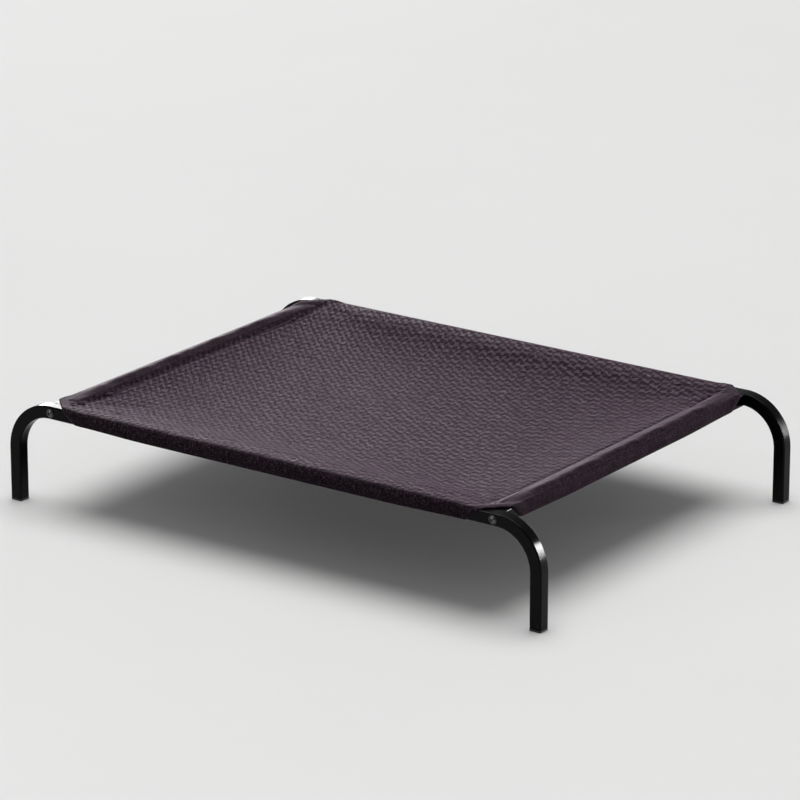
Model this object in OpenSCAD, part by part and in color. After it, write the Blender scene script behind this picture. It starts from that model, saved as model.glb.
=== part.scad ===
// Raised dog cot: a bolted frame of square steel tube that stretches one sheet of mesh fabric.
// The long side rails are necked at their ends and slide into four bent legs. Each end rail butts
// on two legs, and one bolt per corner goes through the leg into an insert in the end rail.
// Millimetres, +X along the long side, +Z up, origin on the floor under the middle of the cot.

/* [Frame] */
// Height of the rails' top face above the floor
rail_top = 206; // [160:1:300]
// Distance between the leg centres along the cot
leg_spacing = 1196; // [800:1:1400]
// Distance between the side rail centres across the cot
rail_spacing = 832; // [500:1:1000]
// Centreline radius of the legs' bend
bend_radius = 86; // [60:1:110]

/* [Tube] */
// Outer width of the square tube
tube = 25; // [20:0.5:30]
// Wall of the tube
tube_wall = 1.2; // [0.8:0.1:2]
// Outer corner radius of the tube
tube_corner = 3; // [2.2:0.1:4]

/* [Corner joints] */
// Straight length of each leg's socket, from its mouth to the bend
socket_length = 70; // [55:1:100]
// Distance from the bolt back to where the bend starts
bolt_setback = 5; // [0:0.5:12]
// Clearance on each side between a rail's neck and its socket
neck_gap = 0.2; // [0.1:0.05:0.4]
// Wall of the necked rail end
neck_wall = 1.2; // [0.8:0.1:2]
// Free length between the neck's tip and the bolt beyond it
neck_tip_gap = 6; // [2:0.5:12]
// Length of the pressed shoulder where a rail steps down to its neck
shoulder_length = 3; // [1.5:0.5:6]

/* [Bolts] */
// Thread diameter of the corner bolts
bolt_d = 8; // [5:0.5:10]
// Shank length under the head
bolt_length = 45; // [38:1:48]
// Head diameter
head_d = 14; // [10:0.5:16]
// Head height
head_height = 4.4; // [3:0.1:6]
// Straight rim below the head's dome
head_rim = 0.8; // [0.4:0.1:1.2]
// Hex socket size across its flats
hex_size = 5; // [3:0.5:6]
// Hex socket depth
hex_depth = 2.6; // [1:0.1:2.8]
// Washer outer diameter
washer_d = 16.5; // [14.5:0.5:18]
// Washer thickness
washer_thickness = 1.5; // [0.8:0.1:2]
// Radial clearance of a bolt in the tube walls and the washer
bolt_gap = 0.3; // [0.2:0.05:0.5]
// Radial clearance of a bolt in its thread
thread_gap = 0.15; // [0.1:0.05:0.3]

/* [Plugs] */
// Length of the threaded insert in an end rail
insert_length = 26; // [23:1:40]
// Height of the foot plug's sole below the tube
sole_height = 4; // [2:0.5:10]
// Bevel round the sole's lower edge
sole_bevel = 0.8; // [0.4:0.1:1.5]
// Length of the foot plug inside the leg
plug_length = 20; // [14:1:40]
// Wall of the hollow foot plug
plug_wall = 2; // [1.5:0.1:4]
// Clearance on each side between a plug's body and the tube
plug_gap = 0.5; // [0.3:0.05:1]
// Clearance on each side between a plug's ribs and the tube
rib_gap = 0.1; // [0.05:0.05:0.2]
// Thickness of a plug's rib
rib_thickness = 1.6; // [1:0.1:2]
// Distance from one rib to the next
rib_pitch = 5; // [4:0.5:8]

/* [Cover] */
// Thickness of the fabric
cover_thickness = 1.2; // [0.8:0.1:1.6]
// Clearance between the fabric and the tube inside it
cover_gap = 0.35; // [0.3:0.05:0.5]
// Distance from a rail's inner face to the end of the sewn hem
seam_inset = 29; // [27:1:40]
// Width of the hem that is sewn to the underside
hem_width = 10; // [7:1:11]
// Gap that the stitches bridge between hem and panel
hem_gap = 0.3; // [0.2:0.05:0.4]
// Diameter of a sunk row of stitches
stitch_d = 1; // [0.8:0.1:1.2]
// How far the hem pulls the panel below the rails' top
sleeve_drop = 7; // [4:0.5:10]
// How far a sleeve hangs loose below its rail
sleeve_slack = 3; // [0:0.5:6]
// Further sag in the middle of the panel
cover_sag = 18; // [5:1:30]
// Length cut off each corner of the cover along either rail
corner_cut = 44; // [34:1:52]

/* [Hidden] */
$fn = 64;

// Left and front are the negative sides, right and back the positive ones
LEFT = -1;
RIGHT = 1;
FRONT = -1;
BACK = 1;

// Colours of the pieces
tube_black = [0.05, 0.05, 0.055];
fabric_taupe = [0.28, 0.25, 0.28];
bolt_grey = [0.30, 0.30, 0.31];
plug_black = [0.09, 0.09, 0.09];
insert_grey = [0.45, 0.45, 0.46];

// Places of the frame's axes
rail_z = rail_top - tube / 2;
side_y = rail_spacing / 2;
leg_x = leg_spacing / 2;
bend_x = leg_x - bend_radius;
bend_z = rail_z - bend_radius;
end_x = bend_x - bolt_setback;
socket_x = bend_x - socket_length;
inner_y = side_y - tube / 2;

// Inside of the tube, and what fits in it
tube_bore = tube - 2 * tube_wall;
bore_corner = tube_corner - tube_wall;
neck_width = tube_bore - 2 * neck_gap;
neck_length = socket_length - bolt_setback - bolt_d / 2 - neck_tip_gap;
cut_over = 1;

// Profile of a square bar with rounded corners
module bar_profile(width, corner) {
    square([width, width - 2 * corner], center = true);
    square([width - 2 * corner, width], center = true);
    for (x = [-1, 1], y = [-1, 1])
        translate([x, y] * (width / 2 - corner)) circle(corner);
}

// Profile of the hollow square tube
module tube_profile() {
    difference() {
        bar_profile(tube, tube_corner);
        bar_profile(tube_bore, bore_corner);
    }
}

// Stands a profile's extrusion along +X
module along_x(length) {
    rotate([90, 0, 90]) linear_extrude(length) children();
}

// Bolt hole through both walls of a tube, across the cot
module bolt_hole() {
    rotate([90, 0, 0])
        cylinder(d = bolt_d + 2 * bolt_gap, h = tube + 2 * cut_over, center = true);
}

// Necked end of a side rail at +X: the pressed shoulder and the neck that slides into a leg
module rail_neck() {
    translate([socket_x - shoulder_length, 0, 0]) along_x(shoulder_length) difference() {
        bar_profile(tube, tube_corner);
        bar_profile(neck_width - 2 * neck_wall, bore_corner / 2);
    }
    translate([socket_x, 0, 0]) along_x(neck_length) difference() {
        bar_profile(neck_width, bore_corner);
        bar_profile(neck_width - 2 * neck_wall, bore_corner / 2);
    }
}

module side_rail(side) {
    straight = 2 * (socket_x - shoulder_length);
    color(tube_black) translate([0, side * side_y, rail_z]) {
        translate([-straight / 2, 0, 0]) along_x(straight) tube_profile();
        rail_neck();
        rotate([0, 0, 180]) rail_neck();
    }
}

module end_rail(end) {
    color(tube_black) translate([end * end_x, 0, rail_z])
        rotate([90, 0, 0]) linear_extrude(2 * inner_y, center = true) tube_profile();
}

// Leg at +X on the cot's middle line: socket, bend and upright of one tube
module leg_tube() {
    difference() {
        union() {
            translate([socket_x, 0, rail_z]) along_x(socket_length) tube_profile();
            translate([bend_x, 0, bend_z]) rotate([90, 0, 0])
                rotate_extrude(angle = 90) translate([bend_radius, 0]) tube_profile();
            translate([leg_x, 0, sole_height]) linear_extrude(bend_z - sole_height) tube_profile();
        }
        translate([end_x, 0, rail_z]) bolt_hole();
    }
}

// Turns a piece drawn at +X to the wanted end
module at_end(end) {
    rotate([0, 0, end == RIGHT ? 0 : 180]) children();
}

// Places a corner's fastening, drawn along +Z outwards from the rail's outer face
module at_corner(end, side, depth) {
    translate([end * end_x, side * (side_y + depth), rail_z]) rotate([-90 * side, 0, 0]) children();
}

module leg(end, side) {
    color(tube_black) translate([0, side * side_y, 0]) at_end(end) leg_tube();
}

module washer(end, side) {
    color(bolt_grey) at_corner(end, side, tube / 2) difference() {
        cylinder(d = washer_d, h = washer_thickness);
        translate([0, 0, -cut_over])
            cylinder(d = bolt_d + 2 * bolt_gap, h = washer_thickness + 2 * cut_over);
    }
}

// Button-head bolt: domed head with a hex socket, shank inwards
module bolt(end, side) {
    dome = head_height - head_rim;
    dome_radius = (pow(head_d / 2, 2) + pow(dome, 2)) / (2 * dome);
    color(bolt_grey) at_corner(end, side, tube / 2 + washer_thickness) {
        difference() {
            intersection() {
                cylinder(d = head_d, h = head_height);
                translate([0, 0, head_height - dome_radius]) sphere(dome_radius);
            }
            translate([0, 0, head_height - hex_depth])
                cylinder(d = hex_size / cos(30), h = hex_depth + cut_over, $fn = 6);
        }
        translate([0, 0, -bolt_length]) cylinder(d = bolt_d, h = bolt_length);
    }
}

// Ribbed body of a plug that is pushed into the tube, growing along +Z from the tube's end
module ribbed_body(length) {
    linear_extrude(length) bar_profile(tube_bore - 2 * plug_gap, bore_corner);
    for (z = [rib_pitch / 2 : rib_pitch : length - rib_thickness])
        translate([0, 0, z]) linear_extrude(rib_thickness)
            bar_profile(tube_bore - 2 * rib_gap, bore_corner);
}

// Threaded insert, flush with the end of an end rail
module insert(end, side) {
    color(insert_grey) translate([end * end_x, side * inner_y, rail_z])
        rotate([90 * side, 0, 0]) difference() {
            ribbed_body(insert_length);
            translate([0, 0, -cut_over])
                cylinder(d = bolt_d + 2 * thread_gap, h = insert_length + 2 * cut_over);
        }
}

// Foot plug: sole as wide as the tube, with a hollow ribbed body up inside the leg
module foot_plug(end, side) {
    hollow = tube_bore - 2 * plug_gap - 2 * plug_wall;
    color(plug_black) translate([end * leg_x, side * side_y, 0]) difference() {
        union() {
            linear_extrude(sole_height) bar_profile(tube, tube_corner);
            translate([0, 0, sole_height]) ribbed_body(plug_length);
        }
        translate([0, 0, sole_height])
            linear_extrude(plug_length + cut_over) bar_profile(hollow, bore_corner / 2);
        for (turn = [0 : 90 : 270])
            rotate([0, 0, turn]) translate([tube / 2, 0, 0]) rotate([0, 45, 0])
                cube([sole_bevel * sqrt(2), 2 * tube, sole_bevel * sqrt(2)], center = true);
    }
}

// Cover: middle surface of the fabric, at skin from a rail's axis where it lies on the tube
skin = tube / 2 + cover_gap + cover_thickness / 2;
wrap_radius = tube_corner + cover_gap + cover_thickness / 2;
wrap_centre = tube / 2 - tube_corner;
fold = skin - (2 - sqrt(2)) * wrap_radius;

// Lines on the panel, from the middle outwards: hem end, start of the corner cut, rail's lip, fold
seam_x = end_x - tube / 2 - seam_inset;
seam_y = side_y - tube / 2 - seam_inset;
lip_x = end_x - wrap_centre;
lip_y = side_y - wrap_centre;
edge_x = end_x + fold;
edge_y = side_y + tube - corner_cut - fold;
brow = edge_y - seam_y;

// Share of the sleeve's drop and of the sag, by the place along one axis of the panel: straight from
// the lip down to the hem, then a bowl with a broad flat bottom
bowl_power = 4;
function ramp(v, lip, seam) = min(1, max(0, (lip - abs(v)) / (lip - seam)));
function bowl(v, seam) = max(0, 1 - pow(abs(v) / seam, bowl_power));
function panel_z(x, y) = rail_z + skin
    - sleeve_drop * ramp(x, lip_x, seam_x) * ramp(y, lip_y, seam_y)
    - cover_sag * bowl(x, seam_x) * bowl(y, seam_y);

// Route of a sleeve round its rail, as [outwards, up] from the rail's axis: from the panel over
// the rail's top, down its outer face, back below it and up to the hem under the panel
seam_height = skin - sleeve_drop;
brow_height = panel_z(0, edge_y) - rail_z;
hem_drop = cover_thickness + hem_gap;
hem_end = [-tube / 2 - seam_inset, seam_height - hem_drop];
hem_start = hem_end + [hem_width, (brow_height - seam_height) * hem_width / brow];
slack = [0, -sleeve_slack];
wrap_corner = slack - [wrap_centre, wrap_centre];
to_hem = hem_start - wrap_corner;
leave_angle = atan2(to_hem[1], to_hem[0]) + acos(wrap_radius / norm(to_hem));
leave = wrap_corner + wrap_radius * [cos(leave_angle), sin(leave_angle)];
knee_share = (-skin - sleeve_slack - hem_start[1]) / (leave[1] - hem_start[1]);
knee = hem_start + knee_share * (leave - hem_start);
route = [
    [edge_y - side_y, brow_height], [-wrap_centre, skin], [fold, skin], [skin, fold],
    [skin, -fold] + slack, [fold, -skin] + slack, knee, hem_start, hem_end,
];
last = len(route) - 1;
// The end sleeves leave the panel at the fold over the end rail
end_first = 2;

function unit(v) = v / norm(v);
function left_of(v) = [-v[1], v[0]];
// Route's point k, moved off the middle surface by half the thickness on either face
function skin_point(k, face) =
    let (before = left_of(unit(route[k] - route[k - 1])),
         after = k == last ? before : left_of(unit(route[k + 1] - route[k])),
         out = unit(before + after))
    route[k] + face * cover_thickness / 2 / (out * before) * out;

// Length of fabric along the route, which the 45 degree corner cut takes off the sleeve's half-length
function run(k) = k == 0 ? 0 : run(k - 1) + norm(route[k] - route[k - 1]);
function side_share(k) = (edge_x - run(k)) / edge_x;
function end_share(k) = (edge_y - run(k) + run(end_first)) / edge_y;

// Grid of the panel, closer towards the hems where the bowl is steep
column_steps = 4;
row_steps = 3;
closing = 1.5;
function spread(i, steps) = sign(i) * (1 - pow(1 - abs(i) / steps, closing));
columns = [
    -edge_x, -lip_x, -seam_x - brow,
    for (i = [-column_steps : column_steps]) seam_x * spread(i, column_steps),
    seam_x + brow, lip_x, edge_x,
];
rows = [-edge_y, for (j = [-row_steps : row_steps]) seam_y * spread(j, row_steps), edge_y];
last_column = len(columns) - 1;
last_row = len(rows) - 1;
side_rings = last;
end_rings = last - end_first;
panel_count = len(columns) * len(rows);
side_count = 2 * len(columns) * side_rings;
face_count = panel_count + side_count + 2 * len(rows) * end_rings;

// Points of one face of the fabric: panel, side sleeves, end sleeves
function on_edge(i) = i == 0 || i == last_column;
function panel_point(i, j, face) = [
    on_edge(i) ? sign(columns[i]) * (end_x + skin_point(end_first, face)[0]) : columns[i],
    rows[j],
    panel_z(columns[i], rows[j]) + face * cover_thickness / 2,
];
function side_point(side, i, k, face) =
    let (p = skin_point(k, face))
    [columns[i] * side_share(k), side * (side_y + p[0]), rail_z + p[1]];
function end_point(end, j, k, face) =
    let (p = skin_point(k, face))
    [end * (end_x + p[0]), rows[j] * end_share(k), rail_z + p[1]];
function face_points(face) = [
    for (i = [0 : last_column], j = [0 : last_row]) panel_point(i, j, face),
    for (side = [FRONT, BACK], i = [0 : last_column], k = [1 : last]) side_point(side, i, k, face),
    for (end = [LEFT, RIGHT], j = [0 : last_row], k = [end_first + 1 : last]) end_point(end, j, k, face),
];

// Places of those points in the list, with ring 0 of a sleeve on the panel's own edge
function panel_id(i, j) = i * len(rows) + j;
function side_id(side, i, ring) = ring == 0
    ? panel_id(i, side == BACK ? last_row : 0)
    : panel_count + ((side == BACK ? len(columns) : 0) + i) * side_rings + ring - 1;
function end_id(end, j, ring) = ring == 0
    ? panel_id(end == RIGHT ? last_column : 0, j)
    : panel_count + side_count + ((end == RIGHT ? len(rows) : 0) + j) * end_rings + ring - 1;

// A four-sided patch of the upper face with its twin on the lower face, and a wall along a free edge
function patch(a, b, c, d) =
    let (low = [face_count, face_count, face_count])
    [[a, b, c], [a, c, d], [c, b, a] + low, [d, c, a] + low];
function wall(a, b) = [[b, a, a + face_count], [b, a + face_count, b + face_count]];
function side_patch(side, i, k) =
    let (a = side_id(side, i, k), b = side_id(side, i, k + 1),
         c = side_id(side, i + 1, k + 1), d = side_id(side, i + 1, k))
    side == BACK ? patch(a, b, c, d) : patch(d, c, b, a);
function end_patch(end, j, k) =
    let (a = end_id(end, j, k), b = end_id(end, j + 1, k),
         c = end_id(end, j + 1, k + 1), d = end_id(end, j, k + 1))
    end == RIGHT ? patch(a, b, c, d) : patch(d, c, b, a);
function turned_wall(turned, a, b) = turned ? wall(b, a) : wall(a, b);

// Sheet of fabric before its hems are sewn down
module folded_sheet() {
    faces = [
        for (i = [0 : last_column - 1], j = [0 : last_row - 1])
            each patch(panel_id(i, j), panel_id(i, j + 1), panel_id(i + 1, j + 1), panel_id(i + 1, j)),
        for (side = [FRONT, BACK], i = [0 : last_column - 1], k = [0 : side_rings - 1])
            each side_patch(side, i, k),
        for (end = [LEFT, RIGHT], j = [0 : last_row - 1], k = [0 : end_rings - 1])
            each end_patch(end, j, k),
        for (side = [FRONT, BACK], k = [0 : side_rings - 1]) each [
            each turned_wall(side == FRONT, side_id(side, 0, k), side_id(side, 0, k + 1)),
            each turned_wall(side == BACK, side_id(side, last_column, k), side_id(side, last_column, k + 1)),
        ],
        for (end = [LEFT, RIGHT], k = [0 : end_rings - 1]) each [
            each turned_wall(end == RIGHT, end_id(end, 0, k), end_id(end, 0, k + 1)),
            each turned_wall(end == LEFT, end_id(end, last_row, k), end_id(end, last_row, k + 1)),
        ],
        for (side = [FRONT, BACK], i = [0 : last_column - 1])
            each turned_wall(side == FRONT, side_id(side, i, side_rings), side_id(side, i + 1, side_rings)),
        for (end = [LEFT, RIGHT], j = [0 : last_row - 1])
            each turned_wall(end == RIGHT, end_id(end, j, end_rings), end_id(end, j + 1, end_rings)),
    ];
    polyhedron(concat(face_points(1), face_points(-1)), faces);
}

// Sunk row of stitches between hem and panel, along +X, at a share of the hem's width from its end
module stitch_row(share, axis_offset, half_length) {
    place = hem_end + share * (hem_start - hem_end);
    rise = (cover_thickness + hem_gap) / 2;
    hull() for (end = [-1, 1])
        translate([end * (half_length - stitch_d), axis_offset + place[0], rail_z + place[1] + rise])
            sphere(d = stitch_d, $fn = 8);
}

module cover() {
    stitch_shares = [0.25, 0.75];
    color(fabric_taupe) union() {
        folded_sheet();
        for (turn = [0, 180], share = stitch_shares) {
            rotate([0, 0, turn]) stitch_row(share, side_y, edge_x * side_share(last));
            rotate([0, 0, turn + 90]) stitch_row(share, end_x, edge_y * end_share(last));
        }
    }
}

cover();
side_rail(FRONT);  // side_rail_front
side_rail(BACK);  // side_rail_back
end_rail(LEFT);  // end_rail_left
end_rail(RIGHT);  // end_rail_right
leg(LEFT, FRONT);  // leg_front_left
leg(RIGHT, FRONT);  // leg_front_right
leg(LEFT, BACK);  // leg_back_left
leg(RIGHT, BACK);  // leg_back_right
bolt(LEFT, FRONT);  // bolt_front_left
bolt(RIGHT, FRONT);  // bolt_front_right
bolt(LEFT, BACK);  // bolt_back_left
bolt(RIGHT, BACK);  // bolt_back_right
washer(LEFT, FRONT);  // washer_front_left
washer(RIGHT, FRONT);  // washer_front_right
washer(LEFT, BACK);  // washer_back_left
washer(RIGHT, BACK);  // washer_back_right
insert(LEFT, FRONT);  // insert_front_left
insert(RIGHT, FRONT);  // insert_front_right
insert(LEFT, BACK);  // insert_back_left
insert(RIGHT, BACK);  // insert_back_right
foot_plug(LEFT, FRONT);  // foot_plug_front_left
foot_plug(RIGHT, FRONT);  // foot_plug_front_right
foot_plug(LEFT, BACK);  // foot_plug_back_left
foot_plug(RIGHT, BACK);  // foot_plug_back_right
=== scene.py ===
import math

import bmesh
import bpy
import numpy as np
from bpy.props import FloatProperty, FloatVectorProperty, IntProperty, PointerProperty
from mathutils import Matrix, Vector


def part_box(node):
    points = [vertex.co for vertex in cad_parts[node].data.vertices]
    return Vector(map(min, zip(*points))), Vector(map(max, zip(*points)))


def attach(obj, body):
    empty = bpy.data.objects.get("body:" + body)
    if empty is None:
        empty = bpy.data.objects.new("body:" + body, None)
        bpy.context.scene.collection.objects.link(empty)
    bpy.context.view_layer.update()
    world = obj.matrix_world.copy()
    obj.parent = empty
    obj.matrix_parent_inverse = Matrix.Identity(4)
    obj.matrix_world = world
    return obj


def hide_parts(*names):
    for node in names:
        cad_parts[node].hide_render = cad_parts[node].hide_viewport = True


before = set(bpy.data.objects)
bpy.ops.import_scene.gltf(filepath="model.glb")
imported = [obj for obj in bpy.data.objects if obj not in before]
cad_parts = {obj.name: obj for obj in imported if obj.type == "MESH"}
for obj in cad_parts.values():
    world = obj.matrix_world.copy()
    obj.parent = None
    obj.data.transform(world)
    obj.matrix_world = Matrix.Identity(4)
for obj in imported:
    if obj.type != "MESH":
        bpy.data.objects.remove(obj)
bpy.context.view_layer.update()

bl_info = {
    "name": "Raised Dog Cot",
    "version": (1, 0, 0),
    "blender": (4, 5, 0),
    "location": "View3D > Sidebar > Dog Cot",
    "description": "Dresses a raised dog cot: painted tube frame, bolts, foot plugs and a sewn mesh cover",
    "category": "Add Mesh",
}

# Places and sizes read off the frame, in metres
SIDE_LOW, SIDE_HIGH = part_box("side_rail_back")
END_LOW, END_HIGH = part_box("end_rail_right")
TUBE_WIDTH = SIDE_HIGH.y - SIDE_LOW.y
TUBE_HEIGHT = SIDE_HIGH.z - SIDE_LOW.z
RAIL_Z = (SIDE_HIGH.z + SIDE_LOW.z) / 2
SIDE_Y = (SIDE_HIGH.y + SIDE_LOW.y) / 2
END_X = (END_HIGH.x + END_LOW.x) / 2
# The corners with their sides along x and y
CORNERS = {"front_left": (-1, -1), "front_right": (1, -1), "back_left": (-1, 1), "back_right": (1, 1)}
RAILS = ("side_rail_front", "side_rail_back", "end_rail_left", "end_rail_right")
BODY = "root"


class CotCoverSettings(bpy.types.PropertyGroup):
    """Sizes of the sewn cover"""

    thickness: FloatProperty(
        name="Thickness", description="Thickness of the fabric",
        default=0.0012, min=0.0004, max=0.003, unit="LENGTH", precision=4)
    gap: FloatProperty(
        name="Gap", description="Clearance between the fabric and the tube inside it",
        default=0.00035, min=0.0001, max=0.002, unit="LENGTH", precision=5)
    tube_corner: FloatProperty(
        name="Tube corner", description="Outer corner radius of the tube that the sleeves wrap",
        default=0.003, min=0.001, max=0.006, unit="LENGTH", precision=4)
    seam_inset: FloatProperty(
        name="Seam inset", description="Distance from a rail's inner face to the end of its sewn hem",
        default=0.029, min=0.02, max=0.08, unit="LENGTH", precision=3)
    hem_width: FloatProperty(
        name="Hem width", description="Width of the hem that is sewn to the underside",
        default=0.010, min=0.006, max=0.03, unit="LENGTH", precision=3)
    hem_gap: FloatProperty(
        name="Hem gap", description="Gap between the hem and the panel above it",
        default=0.0003, min=0.0001, max=0.001, unit="LENGTH", precision=5)
    sleeve_drop: FloatProperty(
        name="Sleeve drop", description="How far the hem pulls the panel below the rails' top",
        default=0.007, min=0.0, max=0.02, unit="LENGTH", precision=4)
    brow: FloatProperty(
        name="Brow", description="How far an end sleeve keeps its height inside the edge of its rail",
        default=0.012, min=0.0, max=0.02, unit="LENGTH", precision=3)
    drop_run: FloatProperty(
        name="Drop run", description="Width of the slope from an end sleeve's brow down to the panel",
        default=0.018, min=0.005, max=0.06, unit="LENGTH", precision=3)
    side_run: FloatProperty(
        name="Side run", description="Width of the slope from a side rail down to the panel",
        default=0.090, min=0.005, max=0.2, unit="LENGTH", precision=3)
    sleeve_slack: FloatProperty(
        name="Sleeve slack", description="How far a sleeve hangs loose below its rail",
        default=0.003, min=0.0, max=0.01, unit="LENGTH", precision=4)
    crown: FloatProperty(
        name="Crown", description="How far the end sleeves bow off the tops of their rails",
        default=0.0036, min=0.0, max=0.006, unit="LENGTH", precision=4)
    side_crown: FloatProperty(
        name="Side crown", description="How far the side sleeves bow off the tops of their rails",
        default=0.0006, min=0.0, max=0.006, unit="LENGTH", precision=4)
    bulge: FloatProperty(
        name="Bulge", description="How far the sleeves bow off the other faces of their rails",
        default=0.0024, min=0.0, max=0.006, unit="LENGTH", precision=4)
    pucker: FloatProperty(
        name="Pucker", description="How unevenly a sleeve bows along its rail, as a share of its bow",
        default=0.3, min=0.0, max=1.0, subtype="FACTOR")
    pucker_length: FloatProperty(
        name="Pucker length", description="Length of the longest pucker along a sleeve",
        default=0.13, min=0.02, max=0.5, unit="LENGTH", precision=3)
    sag: FloatProperty(
        name="Sag", description="Further sag in the middle of the panel",
        default=0.018, min=0.0, max=0.05, unit="LENGTH", precision=4)
    corner_cut: FloatProperty(
        name="Corner cut", description="Length cut off each corner of the cover along either rail",
        default=0.044, min=0.02, max=0.08, unit="LENGTH", precision=3)
    grid_step: FloatProperty(
        name="Grid step", description="Distance between the panel's grid lines",
        default=0.0065, min=0.003, max=0.02, unit="LENGTH", precision=4)
    sleeve_step: FloatProperty(
        name="Sleeve step", description="Distance between the grid lines round a sleeve",
        default=0.0024, min=0.001, max=0.01, unit="LENGTH", precision=4)
    turn_steps: IntProperty(
        name="Turn steps", description="Grid steps round each corner of a tube",
        default=5, min=3, max=10)
    mouth_hem: FloatProperty(
        name="Mouth hem", description="Width of the turned hem along each cut corner",
        default=0.009, min=0.004, max=0.02, unit="LENGTH", precision=4)
    mouth_rise: FloatProperty(
        name="Mouth rise", description="How far the turned hem lifts the fabric on top of a sleeve's mouth",
        default=0.0020, min=0.0, max=0.004, unit="LENGTH", precision=4)
    mouth_snug: FloatProperty(
        name="Mouth snug", description="Length from a sleeve's mouth over which it lies close to the tube",
        default=0.12, min=0.02, max=0.4, unit="LENGTH", precision=3)
    fold_height: FloatProperty(
        name="Fold height", description="Height of the tension folds that run in from each corner",
        default=0.0010, min=0.0, max=0.005, unit="LENGTH", precision=4)
    fold_length: FloatProperty(
        name="Fold length", description="Distance over which a tension fold fades",
        default=0.14, min=0.02, max=0.5, unit="LENGTH", precision=3)
    fold_count: FloatProperty(
        name="Fold count", description="Waves of the tension folds in a full turn round one corner",
        default=13.0, min=2.0, max=30.0)
    fold_turn: FloatProperty(
        name="Fold turn", description="How far the folds of one corner are turned from those of the next",
        default=0.15, min=0.0, max=1.0, subtype="ANGLE")


class CotStitchSettings(bpy.types.PropertyGroup):
    """Sizes of the visible stitches"""

    pitch: FloatProperty(
        name="Pitch", description="Distance from one stitch to the next",
        default=0.005, min=0.002, max=0.01, unit="LENGTH", precision=4)
    length: FloatProperty(
        name="Length", description="Length of one stitch on the surface",
        default=0.0036, min=0.001, max=0.009, unit="LENGTH", precision=4)
    width: FloatProperty(
        name="Width", description="Thickness of the thread",
        default=0.0008, min=0.0003, max=0.002, unit="LENGTH", precision=4)
    sink: FloatProperty(
        name="Sink", description="How far a row of stitches pulls the fabric in",
        default=0.0008, min=0.0, max=0.003, unit="LENGTH", precision=4)
    groove: FloatProperty(
        name="Groove", description="Half width of the groove along a row of stitches",
        default=0.0028, min=0.001, max=0.01, unit="LENGTH", precision=4)


class CotFinishSettings(bpy.types.PropertyGroup):
    """Colours and surface values of the finishes"""

    paint: FloatVectorProperty(
        name="Paint", description="Gloss paint on the tubes",
        default=(0.0018, 0.0015, 0.0020), size=3, min=0.0, max=1.0, subtype="COLOR")
    paint_roughness: FloatProperty(
        name="Paint roughness", description="Mean roughness of the paint",
        default=0.16, min=0.05, max=0.8, subtype="FACTOR")
    warp: FloatVectorProperty(
        name="Warp yarn", description="Coated yarn that runs along the cot",
        default=(0.055, 0.0365, 0.0503), size=3, min=0.0, max=1.0, subtype="COLOR")
    weft: FloatVectorProperty(
        name="Weft yarn", description="Coated yarn that runs across the cot",
        default=(0.0095, 0.0063, 0.0086), size=3, min=0.0, max=1.0, subtype="COLOR")
    thread: FloatVectorProperty(
        name="Thread", description="Sewing thread",
        default=(0.020, 0.017, 0.020), size=3, min=0.0, max=1.0, subtype="COLOR")
    yarn_pitch: FloatProperty(
        name="Yarn pitch", description="Distance from one yarn to the next",
        default=0.0021, min=0.0008, max=0.006, unit="LENGTH", precision=4)
    rib_yarns: FloatProperty(
        name="Rib scale", description="Scale of the lattice of ribs, in yarns",
        default=16.5, min=2.0, max=24.0)
    dash_yarns: FloatProperty(
        name="Dash scale", description="Scale of the breaks along the ribs, in yarns",
        default=26.0, min=5.0, max=200.0)
    bolt_steel: FloatVectorProperty(
        name="Bolt steel", description="Dark plated steel of bolts and washers",
        default=(0.10, 0.097, 0.097), size=3, min=0.0, max=1.0, subtype="COLOR")
    insert_steel: FloatVectorProperty(
        name="Insert steel", description="Bright zinc plated steel of the threaded inserts",
        default=(0.48, 0.47, 0.45), size=3, min=0.0, max=1.0, subtype="COLOR")
    plug: FloatVectorProperty(
        name="Plug plastic", description="Moulded plastic of the foot plugs",
        default=(0.016, 0.016, 0.017), size=3, min=0.0, max=1.0, subtype="COLOR")
    scuff: FloatVectorProperty(
        name="Scuff", description="Scuffed paint and plastic near the floor",
        default=(0.10, 0.098, 0.095), size=3, min=0.0, max=1.0, subtype="COLOR")
    dust: FloatVectorProperty(
        name="Dust", description="Fine dust on upward surfaces",
        default=(0.30, 0.28, 0.27), size=3, min=0.0, max=1.0, subtype="COLOR")


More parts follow.
